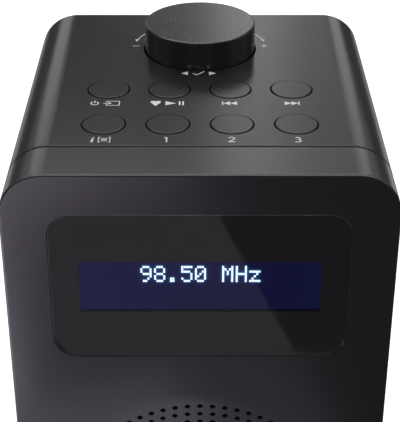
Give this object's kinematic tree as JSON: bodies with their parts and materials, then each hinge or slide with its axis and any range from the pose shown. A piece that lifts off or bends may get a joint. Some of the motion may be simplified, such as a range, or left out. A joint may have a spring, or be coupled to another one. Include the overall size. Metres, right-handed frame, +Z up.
{
  "type": "tabletop radio",
  "caption": "Upright digital table radio with a dot-matrix display over a round speaker grille, a turn-and-push knob and round keys on top, and a folding telescopic aerial.",
  "frame": {"origin": "middle of the whole radio's footprint, on the surface that its feet stand on", "axes": "+X to the right as seen from the front, +Y to the back, +Z up; the display faces -Y"},
  "size_m": [0.095, 0.107, 0.158],
  "materials": {
    "amplifier_heatsink": "black anodised",
    "antenna_hinge_pin": "steel rivet",
    "antenna_knuckle": "chromed brass",
    "antenna_retainer": "zinc-plated steel",
    "antenna_section_1": "chromed brass tube",
    "antenna_section_2": "chromed brass tube",
    "antenna_section_3": "chromed brass tube",
    "antenna_section_4": "chromed brass tube",
    "antenna_section_5": "chromed brass tube",
    "antenna_swivel": "chromed zinc",
    "antenna_tip": "chromed brass",
    "cabinet_sleeve": "satin moulded plastic, charcoal",
    "capacitors": "sleeved electrolytic cans",
    "dc_jack": "moulded, black",
    "display_lens": "smoked acrylic",
    "dust_cap": "black pressed paper",
    "encoder_body": "die-cast zinc",
    "encoder_nut": "nickel-plated",
    "encoder_rotor": "moulded, black",
    "encoder_shaft": "turned",
    "favourite_button": "satin moulded plastic, charcoal",
    "front_cover": "satin moulded plastic, charcoal",
    "front_cover_screws": "zinc-plated steel",
    "grille_cloth": "open black acoustic cloth",
    "headphone_jack": "moulded, black",
    "key_board": "green solder mask",
    "key_board_screws": "zinc-plated steel",
    "lcd_backlight": "light guide in white plastic",
    "lcd_board": "green solder mask",
    "lcd_frame": "blackened pressed steel",
    "lcd_glass": "blue negative LCD glass",
    "lcd_screws": "zinc-plated steel",
    "lens_mask": "printed black film",
    "magnet_top_plate": "zinc-plated steel",
    "magnet_yoke": "zinc-plated steel",
    "main_board": "green solder mask",
    "main_board_screws": "zinc-plated steel",
    "menu_button": "satin moulded plastic, charcoal",
    "next_button": "satin moulded plastic, charcoal",
    "power_button": "satin moulded plastic, charcoal",
    "preset_1_button": "satin moulded plastic, charcoal",
    "preset_2_button": "satin moulded plastic, charcoal",
    "preset_3_button": "satin moulded plastic, charcoal",
    "previous_button": "satin moulded plastic, charcoal",
    "rear_cover": "fine-textured moulded plastic, black",
    "rear_cover_screws": "black-oxide steel",
    "rubber_feet": "soft black rubber",
    "selector_knob": "satin moulded plastic, charcoal",
    "speaker_cone": "black pressed paper",
    "speaker_frame": "black-painted pressed steel",
    "speaker_gasket": "closed-cell foam",
    "speaker_grille": "satin moulded plastic, perforated",
    "speaker_magnet": "ferrite",
    "speaker_screws": "zinc-plated steel",
    "speaker_spider": "resin-treated cloth",
    "speaker_surround": "butyl rubber roll",
    "tact_switches": "moulded, black",
    "tuner_shield": "tinned steel",
    "voice_coil": "enamelled copper wire on a former",
    "wiring_harness": "ribbon cables and insulated wire"
  },
  "bodies": {
    "cabinet": {"amplifier_heatsink": "amplifier_heatsink", "cabinet_sleeve": "cabinet_sleeve", "capacitors": "capacitors", "dc_jack": "dc_jack", "display_lens": "display_lens", "encoder_body": "encoder_body", "encoder_nut": "encoder_nut", "front_cover": "front_cover", "front_cover_screws": "front_cover_screws", "grille_cloth": "grille_cloth", "headphone_jack": "headphone_jack", "key_board": "key_board", "key_board_screws": "key_board_screws", "lcd_backlight": "lcd_backlight", "lcd_board": "lcd_board", "lcd_frame": "lcd_frame", "lcd_glass": "lcd_glass", "lcd_screws": "lcd_screws", "lens_mask": "lens_mask", "magnet_top_plate": "magnet_top_plate", "magnet_yoke": "magnet_yoke", "main_board": "main_board", "main_board_screws": "main_board_screws", "rear_cover": "rear_cover", "rear_cover_screws": "rear_cover_screws", "rubber_feet": "rubber_feet", "speaker_frame": "speaker_frame", "speaker_gasket": "speaker_gasket", "speaker_grille": "speaker_grille", "speaker_magnet": "speaker_magnet", "speaker_screws": "speaker_screws", "speaker_spider": "speaker_spider", "speaker_surround": "speaker_surround", "tact_switches": "tact_switches", "tuner_shield": "tuner_shield", "wiring_harness": "wiring_harness"},
    "encoder": {"encoder_rotor": "encoder_rotor"},
    "knob": {"selector_knob": "selector_knob", "encoder_shaft": "encoder_shaft"},
    "cone": {"speaker_cone": "speaker_cone", "dust_cap": "dust_cap", "voice_coil": "voice_coil"},
    "aerial_foot": {"antenna_swivel": "antenna_swivel", "antenna_retainer": "antenna_retainer", "antenna_hinge_pin": "antenna_hinge_pin"},
    "aerial_tube_1": {"antenna_knuckle": "antenna_knuckle", "antenna_section_1": "antenna_section_1"},
    "aerial_tube_2": {"antenna_section_2": "antenna_section_2"},
    "aerial_tube_3": {"antenna_section_3": "antenna_section_3"},
    "aerial_tube_4": {"antenna_section_4": "antenna_section_4"},
    "aerial_rod": {"antenna_section_5": "antenna_section_5", "antenna_tip": "antenna_tip"},
    "power_key": {"power_button": "power_button"},
    "favourite_key": {"favourite_button": "favourite_button"},
    "previous_key": {"previous_button": "previous_button"},
    "next_key": {"next_button": "next_button"},
    "menu_key": {"menu_button": "menu_button"},
    "preset_1_key": {"preset_1_button": "preset_1_button"},
    "preset_2_key": {"preset_2_button": "preset_2_button"},
    "preset_3_key": {"preset_3_button": "preset_3_button"}
  },
  "joints": [
    {"name": "selector_turn", "type": "hinge", "parent": "cabinet", "child": "encoder", "pos_m": [0, 0.0205, 0.14], "axis": [0, 0, 1], "continuous": true},
    {"name": "selector_push", "type": "slide", "parent": "encoder", "child": "knob", "axis": [0, 0, -1], "range_m": [0, 0.0005], "stiffness_N_per_m": 2000, "springref_m": -0.0004},
    {"name": "power_press", "type": "slide", "parent": "cabinet", "child": "power_key", "axis": [0, 0, -1], "range_m": [0, 0.0004], "stiffness_N_per_m": 1500, "springref_m": -0.0003},
    {"name": "favourite_press", "type": "slide", "parent": "cabinet", "child": "favourite_key", "axis": [0, 0, -1], "range_m": [0, 0.0004], "stiffness_N_per_m": 1500, "springref_m": -0.0003},
    {"name": "previous_press", "type": "slide", "parent": "cabinet", "child": "previous_key", "axis": [0, 0, -1], "range_m": [0, 0.0004], "stiffness_N_per_m": 1500, "springref_m": -0.0003},
    {"name": "next_press", "type": "slide", "parent": "cabinet", "child": "next_key", "axis": [0, 0, -1], "range_m": [0, 0.0004], "stiffness_N_per_m": 1500, "springref_m": -0.0003},
    {"name": "menu_press", "type": "slide", "parent": "cabinet", "child": "menu_key", "axis": [0, 0, -1], "range_m": [0, 0.0004], "stiffness_N_per_m": 1500, "springref_m": -0.0003},
    {"name": "preset_1_press", "type": "slide", "parent": "cabinet", "child": "preset_1_key", "axis": [0, 0, -1], "range_m": [0, 0.0004], "stiffness_N_per_m": 1500, "springref_m": -0.0003},
    {"name": "preset_2_press", "type": "slide", "parent": "cabinet", "child": "preset_2_key", "axis": [0, 0, -1], "range_m": [0, 0.0004], "stiffness_N_per_m": 1500, "springref_m": -0.0003},
    {"name": "preset_3_press", "type": "slide", "parent": "cabinet", "child": "preset_3_key", "axis": [0, 0, -1], "range_m": [0, 0.0004], "stiffness_N_per_m": 1500, "springref_m": -0.0003},
    {"name": "cone_travel", "type": "slide", "parent": "cabinet", "child": "cone", "axis": [0, -1, 0], "range_m": [-0.001, 0.001], "stiffness_N_per_m": 1200},
    {"name": "aerial_swivel", "type": "hinge", "parent": "cabinet", "child": "aerial_foot", "pos_m": [0.031, 0.0502, 0.134], "axis": [0, 1, 0], "range_deg": [-180, 180]},
    {"name": "aerial_fold", "type": "hinge", "parent": "aerial_foot", "child": "aerial_tube_1", "pos_m": [0.031, 0.0502, 0.134], "axis": [1, 0, 0], "range_deg": [0, 180]},
    {"name": "aerial_slide_2", "type": "slide", "parent": "aerial_tube_1", "child": "aerial_tube_2", "axis": [0, 0, -1], "range_m": [0, 0.084]},
    {"name": "aerial_slide_3", "type": "slide", "parent": "aerial_tube_2", "child": "aerial_tube_3", "axis": [0, 0, -1], "range_m": [0, 0.084]},
    {"name": "aerial_slide_4", "type": "slide", "parent": "aerial_tube_3", "child": "aerial_tube_4", "axis": [0, 0, -1], "range_m": [0, 0.084]},
    {"name": "aerial_slide_5", "type": "slide", "parent": "aerial_tube_4", "child": "aerial_rod", "axis": [0, 0, -1], "range_m": [0, 0.084]}
  ]
}
